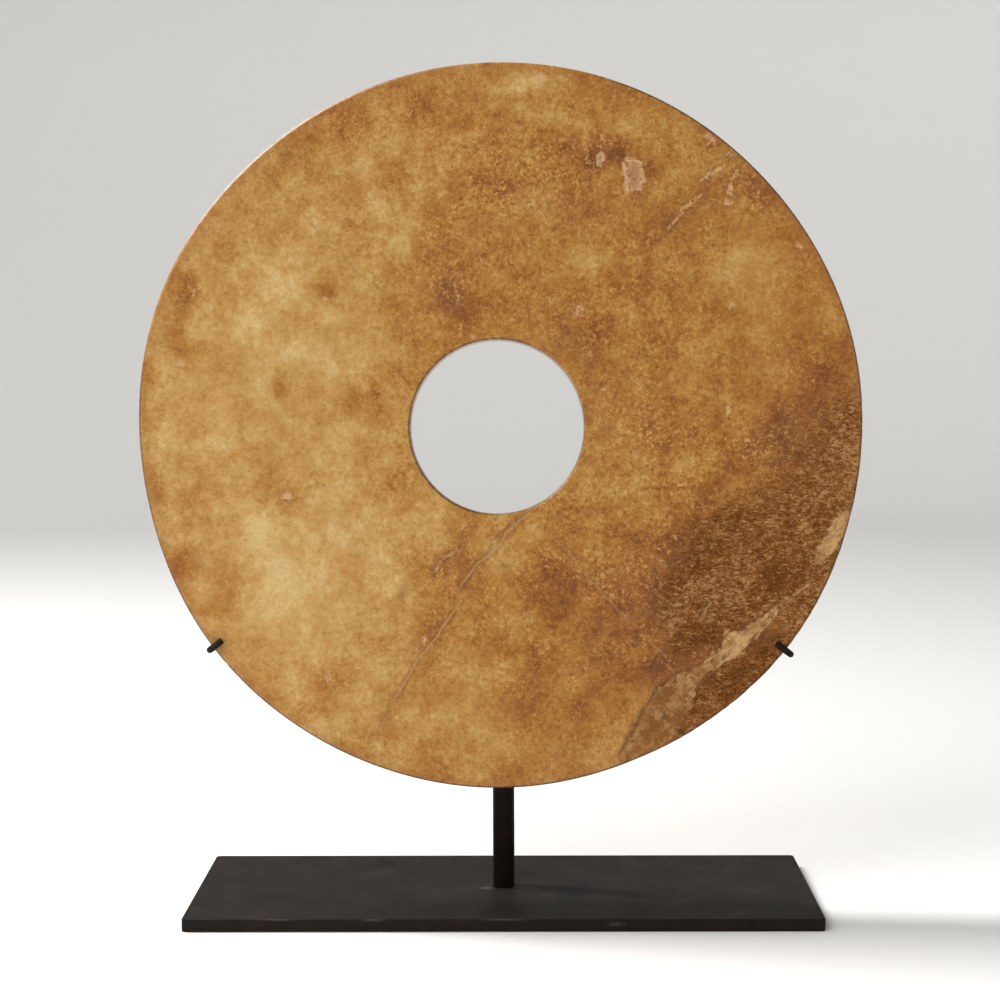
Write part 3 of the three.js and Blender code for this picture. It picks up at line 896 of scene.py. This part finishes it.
def makeHook(side, material):
    sign = -1 if side == "left" else 1
    angle = math.radians(cradle["angles"][side])
    rim = rimRadius(math.pi + angle if sign < 0 else -angle)
    outside = rim + cradle["slack"][side] + clearance + cradle["rodRadius"]
    edgeBend = disc["arris"] + clearance + cradle["rodRadius"]

    def at(radius, y):
        return Vector((sign * radius * math.cos(angle), y, -radius * math.sin(angle)))

    turn = Vector((sign * tailDrop / math.tan(angle), rodFromFace, -tailDrop))
    points = [
        at(rim - cradle["reach"], -rodFromFace),
        at(outside, -rodFromFace),
        at(outside, rodFromFace),
        turn,
        turn - Vector((sign * cradle["tail"], 0, 0)),
    ]
    bends = [edgeBend, edgeBend, cradle["legBend"]]
    bm = bentRod(points, bends)
    bmesh.ops.transform(bm, matrix=leaning, verts=bm.verts)
    keepFlats(finishPiece(bm, side + "Hook", material, side + "_hook"))


def bentRod(points, bends):
    # A round rod through the points, bent at the inner ones, drawn by spinning its section along
    bm = bmesh.new()
    direction = (points[1] - points[0]).normalized()
    facing = direction.to_track_quat("Z", "Y").to_matrix().to_4x4()
    ring = bmesh.ops.create_circle(bm, segments=cradle["rodSides"], radius=cradle["rodRadius"],
                                   matrix=Matrix.Translation(points[0]) @ facing)["verts"]
    section = ring + bm.edges[:]
    place = points[0]
    for before, corner, after, bend in zip(points, points[1:], points[2:], bends):
        inward = (before - corner).normalized()
        outward = (after - corner).normalized()
        half = inward.angle(outward) / 2
        centre = corner + (inward + outward).normalized() * bend / math.sin(half)
        bendStart = corner + inward * bend / math.tan(half)
        section = bmesh.ops.spin(bm, geom=section, cent=place, axis=direction, dvec=bendStart - place,
                                 angle=0, steps=1)["geom_last"]
        section = bmesh.ops.spin(bm, geom=section, cent=centre, axis=outward.cross(inward).normalized(),
                                 angle=math.pi - 2 * half, steps=cradle["bendSteps"])["geom_last"]
        place = corner + outward * bend / math.tan(half)
    bmesh.ops.spin(bm, geom=section, cent=place, axis=direction, dvec=points[-1] - place, angle=0, steps=1)
    ends = [edge for edge in bm.edges if edge.is_boundary]
    bmesh.ops.holes_fill(bm, edges=ends, sides=0)
    bevel(bm, ends, cradle["tipRounding"], roundingSteps)
    return bm


stone = stoneMaterial()
steel = steelMaterial()
makeDisc(stone)
makeFootPlate(steel)
makePost(steel)
makeCrossBar(steel)
makeHook("left", steel)
makeHook("right", steel)


# The stage: a plain pale cove that runs all the way round

cove = {  # metres
    "floorRadius": 1.9,
    "bendRadius": 0.7,
    "height": 2.8,
    "bendSteps": 16,
    "stepsAround": 96,
    "colour": "E9E8E6",
}


def makeCove():
    bm = bmesh.new()
    outer = cove["floorRadius"] + cove["bendRadius"]
    centre = bm.verts.new((0, 0, 0))
    edge = bm.verts.new((cove["floorRadius"], 0, 0))
    bm.edges.new((centre, edge))
    bendMiddle = (cove["floorRadius"], 0, cove["bendRadius"])
    bend = bmesh.ops.spin(bm, geom=[edge], cent=bendMiddle, axis=(0, -1, 0), angle=math.pi / 2,
                          steps=cove["bendSteps"])["geom_last"]
    top = bm.verts.new((outer, 0, cove["height"]))
    bm.edges.new((next(v for v in bend if isinstance(v, bmesh.types.BMVert)), top))
    bmesh.ops.spin(bm, geom=bm.verts[:] + bm.edges[:], cent=(0, 0, 0), axis=(0, 0, 1),
                   angle=2 * math.pi, steps=cove["stepsAround"], use_merge=True)
    bmesh.ops.remove_doubles(bm, verts=bm.verts, dist=0.01 * mm)
    mesh = bpy.data.meshes.new("studioCove")
    bm.to_mesh(mesh)
    bm.free()
    mesh.shade_smooth()
    # Matt wall paint: no shine, so that it only carries the lamps' soft light
    material, add = startMaterial("mattPaintedCove")
    paint = add("BsdfPrincipled", None, {
        "Base Color": linear(cove["colour"]), "Roughness": 0.9, "Specular IOR Level": 0.1})
    add("OutputMaterial", None, {"Surface": paint})
    mesh.materials.append(material)
    piece = addObject("studioCove", mesh)
    print("made the cove")


lights = {  # place in metres, size in metres, power in watts
    "key": {"at": (-1.5, -1.6, 2.15), "size": (1.8, 1.8), "power": 49.5},
    "rim": {"at": (-0.95, 0.24, 1.37), "size": (0.25, 1.0), "power": 32},
}
roomLight = {"colour": "F2F4F6", "strength": 0.16}


def makeLights():
    for name, setting in lights.items():
        data = bpy.data.lights.new(name, "AREA")
        data.shape = "ELLIPSE"
        data.size, data.size_y = setting["size"]
        data.energy = setting["power"]
        lamp = addObject(name, data)
        lamp.visible_camera = False
        lamp.location = setting["at"]
        toDisc = discMiddle * mm - Vector(setting["at"])
        lamp.rotation_euler = toDisc.to_track_quat("-Z", "Y").to_euler()
    world = bpy.data.worlds.new("softRoom")
    world.use_nodes = True
    background = world.node_tree.nodes["Background"]
    background.inputs["Color"].default_value = linear(roomLight["colour"])
    background.inputs["Strength"].default_value = roomLight["strength"]
    bpy.context.scene.world = world
    bpy.context.scene.view_settings.view_transform = "Standard"
    print("made the lights")


# The camera, fitted to the plate's corners, the rim and the hole in the photograph
cameraFit = {
    "place": (8.2, -995, 279.5),
    "focalPixels": 2080,
    "imagePixels": 1000,
    "sensor": 36,
    "nearest": 50,  # nothing nearer than this is drawn
    "pitch": 4.87,  # down
    "yaw": 0.54,  # to the left
    "roll": -0.22,
}


def makeCamera():
    data = bpy.data.cameras.new("photoView")
    data.sensor_width = cameraFit["sensor"]
    data.lens = cameraFit["focalPixels"] / cameraFit["imagePixels"] * cameraFit["sensor"]
    data.clip_start = cameraFit["nearest"] * mm
    camera = addObject("photoView", data)
    camera.matrix_world = (
        Matrix.Translation(Vector(cameraFit["place"]) * mm)
        @ Matrix.Rotation(math.radians(cameraFit["yaw"]), 4, "Z")
        @ Matrix.Rotation(math.radians(90 - cameraFit["pitch"]), 4, "X")
        @ Matrix.Rotation(math.radians(cameraFit["roll"]), 4, "Z")
    )
    bpy.context.scene.camera = camera
    print("made the camera")


makeCove()
makeLights()
makeCamera()

bpy.context.view_layer.update()
